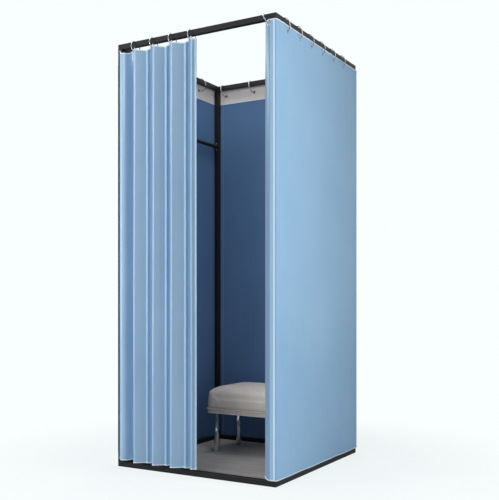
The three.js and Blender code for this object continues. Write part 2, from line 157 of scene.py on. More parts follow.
def newTree(name, numbers):  # a Geometry Nodes tree whose inputs are these numbers and a finish
    tree = bpy.data.node_groups.new(name, "GeometryNodeTree")
    tree.interface.new_socket("Geometry", in_out="INPUT", socket_type="NodeSocketGeometry")
    for label, value in numbers.items():
        kind = "NodeSocketInt" if isinstance(value, int) else "NodeSocketFloat"
        tree.interface.new_socket(label, in_out="INPUT", socket_type=kind).default_value = value
    tree.interface.new_socket("Finish", in_out="INPUT", socket_type="NodeSocketMaterial")
    tree.interface.new_socket("Geometry", in_out="OUTPUT", socket_type="NodeSocketGeometry")
    return tree, addNode(tree, "NodeGroupInput").outputs


def endTree(tree, shape, finish):  # instances made real, given their material
    real = addNode(tree, "GeometryNodeRealizeInstances", {"Geometry": shape})
    painted = addNode(tree, "GeometryNodeSetMaterial", {"Geometry": real, "Material": finish})
    addNode(tree, "NodeGroupOutput", {"Geometry": painted})


def standOnPoints(tree, given, shape):  # the tree's end: one copy on each point, turned as the point says
    turn = addNode(tree, "GeometryNodeInputNamedAttribute", {"Name": "turn"}, data_type="FLOAT_VECTOR")
    copies = addNode(tree, "GeometryNodeInstanceOnPoints",
                     {"Points": given["Geometry"], "Instance": shape, "Rotation": turn})
    endTree(tree, copies, given["Finish"])


def growPiece(name, source, tree, values):  # the tree's result as a plain mesh; the source is used up
    modifier = source.modifiers.new("shape", "NODES")
    modifier.node_group = tree
    for item in tree.interface.items_tree:
        if item.in_out == "INPUT" and item.name in values:
            modifier[item.identifier] = values[item.name]
    mesh = bpy.data.meshes.new_from_object(source.evaluated_get(bpy.context.evaluated_depsgraph_get()))
    mesh.name = name
    bpy.data.objects.remove(source)
    return showMesh(name, mesh)


def bareSource(vertices, edges=()):
    mesh = bpy.data.meshes.new("source")
    mesh.from_pydata(vertices, edges, [])
    source = bpy.data.objects.new("source", mesh)
    scene.collection.objects.link(source)
    return source


def pathSource(lines):  # polylines as a mesh of edges
    vertices, edges = [], []
    for line in lines:
        start = len(vertices)
        vertices += np.asarray(line).tolist()
        edges += [(start + i, start + i + 1) for i in range(len(line) - 1)]
    return bareSource(vertices, edges)


def pointSource(places, turns):  # points that each carry the turn of what stands on them
    source = bareSource([tuple(place) for place in places])
    turn = source.data.attributes.new("turn", "FLOAT_VECTOR", "POINT")
    turn.data.foreach_set("vector", np.asarray(turns, np.float32).ravel())
    return source


# materials

clothLook = {
    "thread": 0.0011,       # polyester yarn is about 0.3 mm apart; drawn coarser, so that a close view shows it
    "threadBump": 0.00006,
    "slubWidth": 0.010,
    "slubLength": 0.45,
    "creaseSize": 0.16,
    "creaseBump": 0.0012,
    "clouds": 2.4,
}


def clothMaterial(name, base, shade, roughness, coat):
    # woven polyester: matt, with faint upright slubs, under a thin coat that draws a soft line of light along a fold
    material, tree = startMaterial(name)
    place = addNode(tree, "ShaderNodeUVMap", uv_map="cloth")
    bandScale = 2 * math.pi / (20 * clothLook["thread"])    # the wave texture's scale for bands a thread apart
    yarn = {"Scale": bandScale, "Distortion": 0.8, "Detail": 1.0, "Vector": place}
    warp, weft = (addNode(tree, "ShaderNodeTexWave", yarn, bands_direction=way).outputs["Fac"] for way in "XY")
    weave = addNode(tree, "ShaderNodeMath", {0: warp, 1: weft}, operation="MULTIPLY")
    slubScale = (1 / clothLook["slubWidth"], 1 / clothLook["slubLength"], 1)
    stretched = addNode(tree, "ShaderNodeMapping", {"Scale": slubScale, "Vector": place})
    slub = addNoise(tree, stretched, 1, 3.0, 0.6)
    cloudy = addNoise(tree, place, 1 / clothLook["clouds"], 2.0)
    tone = addNode(tree, "ShaderNodeMath", {0: slub, 1: 0.5, 2: cloudy}, operation="MULTIPLY_ADD")
    crease = addNoise(tree, place, clothLook["creaseSize"], 2.0)
    soft = addBump(tree, crease, 0.6, clothLook["creaseBump"])
    fine = addBump(tree, weave, 0.5, clothLook["threadBump"], Normal=soft)
    look = {"Roughness": roughness, "Specular IOR Level": 0.25, "Coat Weight": coat, "Coat Roughness": 0.22,
            "Sheen Weight": 0.1, "Sheen Roughness": 0.35, "Sheen Tint": linear("#e6f1fb")}
    endMaterial(tree, look, (base, shade), tone, (0.55, 0.95), fine)
    return material


def grainMaterial(name, base, shade, size, bump, look, stretch=(1, 1, 1), roughnesses=None):
    # a surface with a fine random grain of one size, in metres, that also moves its colour
    material, tree = startMaterial(name)
    place = addNode(tree, "ShaderNodeTexCoord").outputs["Object"]
    stretched = addNode(tree, "ShaderNodeMapping", {"Scale": stretch, "Vector": place})
    grain = addNoise(tree, stretched, size, 4.0, 0.55)
    lift = addBump(tree, grain, 0.5, bump)
    if roughnesses:
        gloss = addNode(tree, "ShaderNodeMapRange", {"Value": grain, "From Min": 0.3, "From Max": 0.7,
                                                     "To Min": roughnesses[0], "To Max": roughnesses[1]})
        look = {**look, "Roughness": gloss}
    endMaterial(tree, look, (base, shade), grain, (0.35, 0.65), lift)
    return material


# the curtain's coated face, with the brightest lines along its folds
curtainCloth = clothMaterial("coatedPolyesterCurtain", "#98b9d6", "#90b2d1", 0.55, 1.0)
# the walls' face: the same cloth, flatter and with less shine
wallCloth = clothMaterial("coatedPolyesterWall", "#92bada", "#8ab3d5", 0.6, 0.3)
# the uncoated inner faces, without shine and much darker than the outer face: painted shade of the cabin's inside
wallBackShaded = clothMaterial("polyesterWallBack", "#56769c", "#507096", 0.7, 0.0)
curtainBackShaded = clothMaterial("polyesterCurtainBackPaintedShade", "#56769c", "#507096", 0.7, 0.0)
# doubled cloth along the flap's free edge, darker than the cloth: painted shade
hemShadeCloth = clothMaterial("coatedPolyesterHemPaintedShade", "#7d9dbd", "#7595b6", 0.6, 0.7)
# the cut through the cloth: a pale thin line, a painted highlight where the edge catches light
cutEdgeHighlight = clothMaterial("heatCutEdgePaintedHighlight", "#a9c4dd", "#9dbbd6", 0.8, 0.0)
# thick pale tape that stiffens the top
tapeCloth = clothMaterial("heavyHeaderTape", "#e2dcd7", "#d8d2cc", 0.8, 0.0)
# powder coat on steel: satin black, with the orange peel that baking leaves, drawn at 2 mm
powderCoat = grainMaterial("blackPowderCoat", "#19191b", "#212123", 0.0022, 0.00012,
                           {"Specular IOR Level": 0.17}, roughnesses=(0.36, 0.5))
# glass-filled nylon: a little duller and greyer than the tubes
mouldedNylon = grainMaterial("mouldedBlackNylon", "#1b1b1d", "#232326", 0.0016, 0.0001,
                             {"Specular IOR Level": 0.17}, roughnesses=(0.45, 0.58))
# nickel plating on drawn wire, with faint drawing lines: grey ticks over the black rails
ringWireFinish = grainMaterial("nickelPlatedWire", "#aaacaf", "#979a9d", 0.0012, 0.00004,
                               {"Metallic": 1.0}, roughnesses=(0.16, 0.3))
# nickel plating on pressed brass eyelets: a grey ring, with a bright rim where the light meets it
nickel = grainMaterial("nickelEyelet", "#a3a5a8", "#8f9195", 0.0015, 0.00004,
                       {"Metallic": 1.0}, roughnesses=(0.22, 0.34))
# black washers behind the eyelets: the dark dots on the pale tape, painted shade of the eyelets' holes
washerShadeFinish = grainMaterial("blackWasherPaintedShade", "#131315", "#1a1a1c", 0.0012, 0.00003,
                             {"Specular IOR Level": 0.2}, roughnesses=(0.45, 0.6))
# polished chrome on drawn tube: sharp, slightly drawn reflections
chromePlate = grainMaterial("polishedChrome", "#dcdddf", "#cfd1d4", 0.004, 0.00002,
                            {"Metallic": 1.0}, stretch=(1, 1, 0.05), roughnesses=(0.05, 0.12))
# folded satin binding, paler than the cloth that it edges; as the tape down the flap's corner the same pale satin is a
# painted highlight
bindingAndHighlightCloth = grainMaterial("satinBindingAndHighlight", "#dbe7f2", "#cbdbea", 0.0016, 0.00015,
                             {"Roughness": 0.6, "Sheen Weight": 0.3, "Sheen Roughness": 0.4})
# spun polyester thread: pale stitches
threadFinish = grainMaterial("polyesterThread", "#b4cce2", "#a5c0da", 0.0008, 0.00008, {"Roughness": 0.65})
# the bristly face of hook-and-loop tape, dull black
hookTape = grainMaterial("hookAndLoopTape", "#1d1e20", "#2c2d30", 0.0014, 0.0005, {"Roughness": 0.95})
print("materials made:", len(bpy.data.materials))


# cloth: where it hangs, as functions of the distance along it and of the height

hang = {
    "thickness": 0.0013,
    "standOff": 0.0045,
    "bottom": 0.0265,
    "top": 1.973,
    "bendRadius": 0.0115,
    "eyeletBore": 0.0066,
    "holeMargin": 0.0006,    # how much wider than its eyelet's bore the cloth's hole is
    "bindingHeight": 0.0052,
    "bindingThickness": 0.0013,
    "bindingInset": 0.0028,
    "bindingLift": 0.0004,
    "tapeHeight": 0.074,
    "tapeThickness": 0.0005,
    "stitchLift": 0.0001,
    "endSeam": 0.006,
    "endSeamInset": 0.01,
    "tapeInset": 0.001,
    "backShift": 0.37,    # along the cloth, so that its two faces don't show the same threads
}
halfCloth = hang["thickness"] / 2
holeRadius = hang["eyeletBore"] / 2 + hang["holeMargin"]
tapeFoot = hang["top"] - hang["tapeHeight"]
frameRight, frameRear, halfTube = 0.425, 0.4375, 0.0125
wallOut = hang["standOff"] + halfCloth
wallRight, wallFront, wallRear = frameRight + wallOut, -frameRear - wallOut, frameRear + wallOut
coverRear = wallRear + hang["thickness"] + 0.0003    # the rear wall hangs behind the side walls' returns

rings = {
    "radius": 0.033,
    "wire": 0.002,
    "sleeve": 0.009,
    "sleeveTurn": 1.15,
    "eyeletGap": 0.0007,
    "lean": math.radians(12),
    "flapLean": math.radians(30),
}


def eyeletOf(node, out, lean, railAlong):  # an eyelet's place along its rail and its height, from its ring
    middle = middleOf(node)
    below = math.sqrt(rings["radius"] ** 2 - out ** 2)
    slope = out * math.cos(lean) / below
    rise = rings["wire"] * math.hypot(1, slope) + slope * halfCloth + rings["eyeletGap"]
    along = (middle.x if railAlong == "x" else middle.y) + below * math.sin(lean)
    return along, middle.z - below * math.cos(lean) + rise - hang["eyeletBore"] / 2


clothOut = halfTube + wallOut
rearOut = clothOut + coverRear - wallRear
sideEyelets = [eyeletOf(f"right_ring_{i}", clothOut, rings["lean"], "y") for i in range(1, 7)]
rearEyelets = [eyeletOf(f"rear_ring_{i}", rearOut, rings["lean"], "x") for i in range(1, 6)]
curtainEyelets = [eyeletOf(f"curtain_ring_{i}", clothOut, rings["lean"], "x") for i in range(1, 5)]
flapEyelet = eyeletOf("flap_ring", clothOut, rings["flapLean"], "x")


def planPath(corners, radius):  # a path seen from above, bent at its inner corners: length to place and normal
    corners = np.array(corners)
    points = [corners[0]]
    for before, corner, after in zip(corners, corners[1:], corners[2:]):
        inward, onward = unit(corner - before), unit(after - corner)
        centre = corner - inward * radius + onward * radius
        points += [centre - onward * radius * math.cos(turn) + inward * radius * math.sin(turn)
                   for turn in np.linspace(0, math.pi / 2, 25)]
    points = np.array(points + [corners[-1]])
    extra, step = 0.02, 0.0006    # the path runs on past its ends, and its direction is read over two steps
    first = points[0] + unit(points[0] - points[1]) * extra
    last = points[-1] + unit(points[-1] - points[-2]) * extra
    points = np.vstack([first, points, last])
    lengths = np.concatenate([[0], np.cumsum(np.linalg.norm(np.diff(points, axis=0), axis=1))]) - extra

    def spot(u):
        return np.stack([np.interp(u, lengths, points[:, i]) for i in (0, 1)], -1)

    def at(u):
        ahead = unit(spot(u + step) - spot(u - step))
        return spot(u), np.stack([ahead[..., 1], -ahead[..., 0]], -1)

    return at, lengths[-1] - extra


waves = {
    "depth": 0.0013,
    "long": 0.37,
    "short": 0.19,
    "endFade": 0.09,
    "headFade": 1.6,    # how far below the top the waves reach their full depth
    "cutReach": 0.06,
    "curlWidth": 0.02,
    "curlFade": 0.3,
    "dip": 0.0009,      # the top edge sags a little between the eyelets
    "dipPitch": 0.12,
    "dipFade": 0.05,
}


def wallSurface(path, span, seed, curl, rounding):  # a hung wall: nearly flat, with slow waves towards its foot
    def place(u, v):
        cut = rounding * (1 - np.sqrt(1 - np.clip(1 - u / max(rounding, 1e-6), 0, 1) ** 2))
        v = v + cut * (np.clip(1 - (v - hang["bottom"]) / waves["cutReach"], 0, 1)
                       - np.clip(1 - (hang["top"] - v) / waves["cutReach"], 0, 1))
        spot, normal = path(u)
        fromEnds = smoothStep(np.minimum(u - span[0], span[1] - u) / waves["endFade"])
        low = 0.25 + 0.75 * smoothStep((hang["top"] - v) / waves["headFade"])
        swell = (np.sin(2 * math.pi * u / waves["long"] + seed + 0.5 * np.sin(1.7 * v))
                 + 0.55 * np.sin(2 * math.pi * u / waves["short"] + 2.3 * seed - 0.8 * v))
        out = waves["depth"] * fromEnds * low * swell
        out += (curl * np.clip(1 - u / waves["curlWidth"], 0, 1.2) ** 1.6
                * (0.35 + 0.65 * smoothStep((hang["top"] - v) / waves["curlFade"])))
        dip = (waves["dip"] * fromEnds * np.sin(2 * math.pi * u / waves["dipPitch"]) ** 2
               * np.exp(-(hang["top"] - v) / waves["dipFade"]))
        return np.stack([spot[..., 0] + normal[..., 0] * out, spot[..., 1] + normal[..., 1] * out, v - dip], -1)

    return place


def offsetBy(place, u, v, out):  # places on the surface, moved along its outward normal
    step = 0.0003
    along = place(u + step, v) - place(u - step, v)
    up = place(u, v + step) - place(u, v - step)
    return place(u, v) + unit(np.cross(along, up)) * out


def levelLine(place, u, height, out):
    return offsetBy(place, u, np.full_like(u, height), out)


def spacedLines(start, end, step, fine=(), fineStep=0.0022, reach=0.011):  # grid lines, closer round the eyelets
    lines = list(np.linspace(start, end, max(2, round((end - start) / step) + 1)))
    for middle in fine:
        low, high = max(start, middle - reach), min(end, middle + reach)
        lines = [x for x in lines if not low - fineStep < x < high + fineStep or x in (start, end)]
        lines += list(np.arange(low, high + fineStep / 2, fineStep))
    lines = sorted({round(float(x), 7) for x in lines if start <= x <= end} | {start, end})
    kept, least = [lines[0]], 0.0004
    for x in lines[1:]:
        if x - kept[-1] > least:
            kept.append(x)
    kept[-1] = end
    return np.array(kept)


def edgeColumns(rounding, count):  # grid lines that crowd towards a rounded edge
    return rounding * np.linspace(0, 1, count) ** 1.6


def clothPiece(name, place, across, up, holes, materials, thickness, out=0.0):
    # a closed sheet over the grid of lines, with round holes given as (along, height, radius)
    spots = np.stack(np.meshgrid(across, up), -1).reshape(-1, 2)
    columns, rows = len(across), len(up)
    start = (np.arange(rows - 1)[:, None] * columns + np.arange(columns - 1)).ravel()
    quads = np.stack([start, start + 1, start + columns + 1, start + columns], 1)
    kept = np.ones(len(quads), bool)
    for along, height, radius in holes:
        middle = np.array([along, height])
        inside = np.linalg.norm(spots[quads].mean(1) - middle, axis=1) < radius
        if not inside.any():
            continue
        rim = np.intersect1d(quads[inside], quads[~inside])
        spots[rim] = middle + unit(spots[rim] - middle) * radius
        kept &= ~inside
    used, faces = np.unique(quads[kept], return_inverse=True)
    faces = faces.reshape(-1, 4)
    spots, count = spots[used], len(used)
    outer, inner = (offsetBy(place, spots[:, 0], spots[:, 1], out + side * thickness / 2) for side in (1, -1))
    sides = np.concatenate([faces[:, [i, (i + 1) % 4]] for i in range(4)])
    keys = dict.fromkeys(map(tuple, sides.tolist()))
    rims = [(b, a, a + count, b + count) for a, b in keys if (b, a) not in keys]
    everyFace = faces.tolist() + (faces[:, ::-1] + count).tolist() + rims
    slots = [0] * len(faces) + [1] * len(faces) + [2] * len(rims)
    uvs = np.vstack([spots, spots + (hang["backShift"], 0)])
    return meshPiece(name, np.vstack([outer, inner]), everyFace, materials, slots, uvs)


# trees for what follows an edge or repeats

bindingTree, given = newTree("edgeBinding", {
    "Height": hang["bindingHeight"], "Thickness": hang["bindingThickness"], "Rounding": 0.0005})
edge = addNode(bindingTree, "GeometryNodeMeshToCurve", {"Mesh": given["Geometry"]})
upright = addNode(bindingTree, "GeometryNodeSetCurveNormal", {"Curve": edge}, mode="Z_UP")
section = addNode(bindingTree, "GeometryNodeCurvePrimitiveQuadrilateral",
                  {"Width": given["Thickness"], "Height": given["Height"]})
rounded = addNode(bindingTree, "GeometryNodeFilletCurve",
                  {"Curve": section, "Count": 2, "Radius": given["Rounding"]}, mode="POLY")
swept = addNode(bindingTree, "GeometryNodeCurveToMesh",
                {"Curve": upright, "Profile Curve": rounded, "Fill Caps": True})
endTree(bindingTree, swept, given["Finish"])

stitchTree, given = newTree("stitchRow", {"Pitch": 0.0062, "Length": 0.0044, "Thread": 0.0007, "Seed": 3})
seam = addNode(stitchTree, "GeometryNodeMeshToCurve", {"Mesh": given["Geometry"]})
spaced = addNode(stitchTree, "GeometryNodeResampleCurve", {"Curve": seam, "Length": given["Pitch"]}, mode="LENGTH")
tangent = addNode(stitchTree, "GeometryNodeInputTangent")
turned = addNode(stitchTree, "FunctionNodeAlignRotationToVector", {"Vector": tangent}, axis="X")
ball = addNode(stitchTree, "GeometryNodeMeshIcoSphere", {"Radius": 0.5, "Subdivisions": 1})
size = addNode(stitchTree, "ShaderNodeCombineXYZ", {0: given["Length"], 1: given["Thread"], 2: given["Thread"]})
stitch = addNode(stitchTree, "GeometryNodeTransform", {"Geometry": ball, "Scale": size})
uneven = addNode(stitchTree, "FunctionNodeRandomValue", {2: 0.88, 3: 1.1, "Seed": given["Seed"]}, data_type="FLOAT")
stitched = addNode(stitchTree, "GeometryNodeInstanceOnPoints",
                   {"Points": spaced, "Instance": stitch, "Rotation": turned, "Scale": uneven.outputs[1]})
endTree(stitchTree, stitched, given["Finish"])


def hoopOf(tree, steps, radius, sides, wire):  # a round bar bent to a ring
    hoop, section = (addNode(tree, "GeometryNodeCurvePrimitiveCircle", {"Resolution": count, "Radius": size})
                     for count, size in ((steps, radius), (sides, wire)))
    return addNode(tree, "GeometryNodeCurveToMesh", {"Curve": hoop, "Profile Curve": section})


ringTree, given = newTree("wireRings", {"Radius": rings["radius"], "Wire": rings["wire"], "Sleeve": rings["sleeve"]})
bent = hoopOf(ringTree, 72, given["Radius"], 14, given["Wire"])
thicker = addNode(ringTree, "ShaderNodeMath", {0: given["Wire"], 1: 1.32}, operation="MULTIPLY")
sleeve = addNode(ringTree, "GeometryNodeMeshCylinder",
                 {"Vertices": 16, "Radius": thicker, "Depth": given["Sleeve"]})
side = addNode(ringTree, "ShaderNodeCombineXYZ", {0: given["Radius"]})
sleevePlaced = addNode(ringTree, "GeometryNodeTransform",
                       {"Geometry": sleeve, "Translation": side, "Rotation": (math.pi / 2, 0, 0)})
sleeveTurned = addNode(ringTree, "GeometryNodeTransform",
                       {"Geometry": sleevePlaced, "Rotation": (0, 0, rings["sleeveTurn"])})
oneRing = addNode(ringTree, "GeometryNodeJoinGeometry", {"Geometry": bent})
ringTree.links.new(sleeveTurned.outputs[0], oneRing.inputs[0])
standOnPoints(ringTree, given, oneRing)

eyeletTree, given = newTree("eyelets", {"Bore": hang["eyeletBore"], "Flange": 0.005, "Lift": 0.62})
half = addNode(eyeletTree, "ShaderNodeMath", {0: given["Flange"], 1: 0.5}, operation="MULTIPLY")
reach = addNode(eyeletTree, "ShaderNodeMath", {0: given["Bore"], 1: 0.5, 2: half}, operation="MULTIPLY_ADD")
flat = addNode(eyeletTree, "ShaderNodeCombineXYZ", {0: 1.0, 1: 1.0, 2: given["Lift"]})
pressed = addNode(eyeletTree, "GeometryNodeTransform",
                  {"Geometry": hoopOf(eyeletTree, 40, reach, 12, half), "Scale": flat})
standOnPoints(eyeletTree, given, pressed)

facingX, facingY = (0, math.pi / 2, 0), (math.pi / 2, 0, 0)    # turns that lay an eyelet in a wall
ringAlongX = (0, math.pi / 2 - rings["lean"], 0)
ringAlongY = (math.pi / 2 + rings["lean"], 0, 0)
flapRingTurn = (0, math.pi / 2 - rings["flapLean"], 0)
print("node trees made:", len(bpy.data.node_groups))


# the three walls

wallLook = {"columnStep": 0.013, "rowStep": 0.026, "bendReach": 0.016, "flapCurl": 0.0055, "cornerRounding": 0.018}
wallTrim = {"tapeStep": 0.015, "headSeam": 0.008, "tapeSeam": 0.008, "footSeam": 0.009, "tapeFootBinding": 0.0026,
            "lineStep": 0.008, "tapeColumnStep": 0.012}
# a pale tape down the flap's corner fold: a painted highlight
cornerHighlightTape = {"from": -0.0125, "to": -0.0058, "ends": 0.006, "thickness": 0.0005, "lift": 0.0003}
# a darker strip along the flap's free edge: painted shade
flapShadeHem = {"ends": 0.001, "rowStep": 0.013, "thickness": 0.0006, "lift": 0.00045}


def trimCloth(label, place, u, tapeAcross, holes, heights, look, endLines):  # binding, header tape and stitches
    foot, head = heights
    inner = -halfCloth - hang["tapeThickness"]
    edges = [levelLine(place, u, height, halfCloth + hang["bindingLift"])
             for height in (head - hang["bindingInset"], foot + hang["bindingInset"])]
    if "tapeFootBinding" in look:
        edges.append(levelLine(place, u, tapeFoot + look["tapeFootBinding"], inner - hang["bindingLift"]))
    binding = growPiece(label.format("Binding"), pathSource(edges), bindingTree, {"Finish": bindingAndHighlightCloth})
    up = spacedLines(tapeFoot, head - hang["tapeInset"], look["tapeStep"], sorted({hole[1] for hole in holes}))
    tape = clothPiece(label.format("HeaderTape"), place, tapeAcross, up, holes, [tapeCloth] * 3,
                      hang["tapeThickness"], inner + hang["tapeThickness"] / 2 - hang["stitchLift"])
    outer = halfCloth + hang["stitchLift"]
    rows = [levelLine(place, u, height, out)
            for height, under in ((head - look["headSeam"], hang["tapeThickness"]),
                                  (tapeFoot + look["tapeSeam"], hang["tapeThickness"]), (foot + look["footSeam"], 0))
            for out in (outer, -outer - under)]
    v = np.linspace(foot + hang["endSeamInset"], head - hang["endSeamInset"], 60)
    rows += [offsetBy(place, np.full_like(v, end), v, out) for end in endLines for out in (outer, -outer)]
    stitches = growPiece(label.format("Stitches"), pathSource(rows), stitchTree, {"Finish": threadFinish})
    return [binding, tape, stitches]


def trimFlap(name, place, bend, holes, heights, rounding):  # pale tape down the corner's fold, a painted highlight, and the doubled hem, darker as painted shade
    foot, head = heights
    across = np.linspace(bend + cornerHighlightTape["from"], bend + cornerHighlightTape["to"], 7)
    up = np.linspace(foot + cornerHighlightTape["ends"], head - cornerHighlightTape["ends"], 80)
    tape = clothPiece(f"{name}CornerHighlightTape", place, across, up, [], [bindingAndHighlightCloth] * 3, cornerHighlightTape["thickness"],
                      halfCloth + cornerHighlightTape["lift"])
    # the hem's darker colour is painted shade
    up = spacedLines(foot + flapShadeHem["ends"], head - flapShadeHem["ends"], flapShadeHem["rowStep"], [hole[1] for hole in holes])
    hem = clothPiece(f"{name}Hem", place, edgeColumns(rounding, 16), up, holes, [hemShadeCloth] * 3, flapShadeHem["thickness"],
                     halfCloth + flapShadeHem["lift"])
    return [tape, hem]


def hangWall(side, plan, holes, bends, span, seed, heights, curl=0.0, rounding=0.0):
    path, length = plan
    place = wallSurface(path, span, seed, curl, rounding)
    holeColumns = [hole[0] for hole in holes]
    across = spacedLines(0, length, wallLook["columnStep"], holeColumns)
    aroundBends = [np.linspace(x - wallLook["bendReach"], x + wallLook["bendReach"], 17) for x in bends]
    across = np.unique(np.concatenate([across] + aroundBends))
    if rounding:
        across = np.unique(np.concatenate([across[across > rounding], edgeColumns(rounding, 16)]))
    across = across[(across >= 0) & (across <= length)]
    up = spacedLines(*heights, wallLook["rowStep"], sorted({hole[1] for hole in holes}))
    wall = clothPiece(f"{side}Wall", place, across, up, holes, [wallCloth, wallBackShaded, cutEdgeHighlight], hang["thickness"])
    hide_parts(f"{side}_wall")
    u = np.unique(np.concatenate([spacedLines(0, length, wallTrim["lineStep"]), edgeColumns(rounding, 12)]))
    tapeAcross = spacedLines(0, length, wallTrim["tapeColumnStep"], holeColumns)
    trims = trimCloth(f"{side}Wall{{}}", place, u, tapeAcross, holes, heights, wallTrim,
                      (hang["endSeam"], length - hang["endSeam"]))
    if rounding:
        flapHoles = [hole for hole in holes if hole[0] < rounding]
        trims += trimFlap(f"{side}Wall", place, bends[0], flapHoles, heights, rounding)
    attach("cabin", "wall_cloth", wall, *trims)


flapReach, rearReach, rearHalf, leftFront = 0.0455, 0.040, 0.421, -0.429
rightPlan = planPath([(frameRight - flapReach, wallFront), (wallRight, wallFront), (wallRight, wallRear),
                      (frameRight - rearReach, wallRear)], hang["bendRadius"])
leftPlan = planPath([(-frameRight + rearReach, wallRear), (-wallRight, wallRear), (-wallRight, leftFront)],
                    hang["bendRadius"])
rearPlan = planPath([(rearHalf, coverRear), (-rearHalf, coverRear)], hang["bendRadius"])

bendLength = hang["bendRadius"] * (math.pi / 2 - 2)    # what a bend takes off the path
rightSideStart = flapReach + wallOut + bendLength
rightHoles = [(rightSideStart + along - wallFront, height, holeRadius) for along, height in sideEyelets]
rightHoles.append((flapEyelet[0] - frameRight + flapReach, flapEyelet[1], holeRadius))
leftHoles = [(rearReach + wallOut + bendLength + wallRear - along, height, holeRadius)
             for along, height in sideEyelets]
rearHoles = [(rearHalf - along, height, holeRadius) for along, height in rearEyelets]

bendMiddle = wallOut - hang["bendRadius"] + hang["bendRadius"] * math.pi / 4    # from the frame's face, along the cloth
firstBend, secondBend = flapReach + bendMiddle, rightPlan[1] - (rearReach + bendMiddle)
showing = (hang["bottom"], hang["top"])    # the right wall leaves its rails in sight
lapping = (0.0215, 1.979)    # the other two lap over theirs by a few millimetres, so that no light shows between
hangWall("right", rightPlan, rightHoles, [firstBend, secondBend], (firstBend + 0.02, secondBend - 0.02), 0.7, showing,
         wallLook["flapCurl"], wallLook["cornerRounding"])
hangWall("left", leftPlan, leftHoles, [rearReach + bendMiddle], (rearReach + 0.03, leftPlan[1]), 2.1, lapping)
hangWall("rear", rearPlan, rearHoles, [], (0.05, rearPlan[1] - 0.05), 4.4, lapping)

sideRings = [f"{side}_ring_{i}" for side in ("right", "left") for i in range(1, 7)]
endRings = [f"rear_ring_{i}" for i in range(1, 6)] + ["flap_ring"]
turns = [ringAlongY] * len(sideRings) + [ringAlongX] * len(rearEyelets) + [flapRingTurn]
wallRings = growPiece("wallRings", pointSource([middleOf(node) for node in sideRings + endRings], turns), ringTree,
                      {"Finish": ringWireFinish})
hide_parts(*sideRings, *endRings)

washerBehind = 0.0018    # from an eyelet's middle to its washer's
flapEyeletLift = 0.0011


def eyeletPlaces(behind):
    return ([(x, y, z) for x in (wallRight - behind, behind - wallRight) for y, z in sideEyelets]
            + [(x, coverRear - behind, z) for x, z in rearEyelets])


turns = [facingX] * len(sideRings) + [facingY] * len(endRings)
flapPlace = (flapEyelet[0], wallFront - flapEyeletLift, flapEyelet[1])
wallEyelets = growPiece("wallEyelets", pointSource(eyeletPlaces(0) + [flapPlace], turns), eyeletTree,
                        {"Finish": nickel})
# black washers stand in for the shade in the eyelets' holes
washers = growPiece("wallWashersPaintedShade", pointSource(eyeletPlaces(washerBehind), turns[:-1]), eyeletTree,
                    {"Flange": 0.0042, "Lift": 0.3, "Finish": washerShadeFinish})
attach("cabin", "ring_wire", wallRings, wallEyelets, washers)
print("walls hung")


# the curtain: folds from ring to ring, in shares along, out, back in the valleys, and down at the top edge

curtain = {
    "edge": -0.4088,
    "fixedWidth": 0.012,    # of its first edge, which stays at the post
    "bottom": 0.0385,
    "pitch": 0.106,
    "endWidth": 0.0455,
    "crestShifts": (-0.022, -0.004, -0.062),    # the last full pleat leans to the left
    "foldDepth": (0.047, 0.046),    # at the foot and at the top
    "firstDepth": 0.027,
    "endDepth": 0.030,
    "valleyDepth": 0.016,
    "valleyFade": (0.93, 0.05),    # from where up, and over how much, the valleys get shallower below the rings
    "valleyLoss": 0.7,
    "drift": 0.0016,    # the pleats wander sideways a little below the rings
    "driftTurns": (2.6, 1.3),    # a metre up, and a pleat along
    "driftFade": 0.3,
    "driftSwell": 7.5,
    "topSag": 0.034,
    "sagFades": 0.10,
    "holeRise": 0.002,
    "steps": 4,
    "rowStep": 0.03,
    "topRows": (0.25, 22),    # how far below the top the rows are closer, and how many there are
}
curtainTrim = {"tapeStep": 0.012, "headSeam": 0.0075, "tapeSeam": 0.003, "footSeam": 0.009}
firstFold = [
    (0, 0, 0, 0.1), (0.06, 0.05, 0, 0.25), (0.13, 0.3, 0, 0.5), (0.22, 0.7, 0, 0.68), (0.3, 0.92, 0, 0.75),
    (0.37, 1, 0, 0.8), (0.445, 0.965, 0, 0.83), (0.52, 0.88, 0, 0.85), (0.585, 0.73, 0, 0.87), (0.64, 0.5, 0, 0.85),
    (0.69, 0.25, 0.1, 0.8), (0.74, 0.08, 0.42, 0.72), (0.79, 0.02, 0.8, 0.6), (0.85, 0, 1.2, 0.5), (0.91, 0, 1.4, 0.4),
    (0.96, 0, 1, 0.2), (1, 0, 0.1, 0.1),
]
fullFold = [
    (0, 0, 0.1, 0.1), (0.04, 0, 0.65, 0.35), (0.085, 0, 1, 0.55), (0.14, 0.04, 0.9, 0.67), (0.19, 0.2, 0.45, 0.76),
    (0.235, 0.5, 0.1, 0.82), (0.27, 0.76, 0, 0.86), (0.3, 0.92, 0, 0.89), (0.33, 0.98, 0, 0.91), (0.363, 1, 0, 0.92),
    (0.392, 0.99, 0, 0.93), (0.425, 0.945, 0, 0.94), (0.46, 0.885, 0, 0.95), (0.515, 0.79, 0, 0.96),
    (0.58, 0.67, 0, 0.98), (0.645, 0.535, 0, 1), (0.705, 0.395, 0, 1), (0.75, 0.295, 0, 1), (0.785, 0.295, 0, 1),
    (0.83, 0.365, 0, 1), (0.866, 0.41, 0, 0.99), (0.887, 0.345, 0, 0.95), (0.905, 0.21, 0, 0.87),
    (0.925, 0.13, 0, 0.75), (0.95, 0.09, 0, 0.55), (0.975, 0.05, 0.02, 0.35), (1, 0, 0.1, 0.1),
]
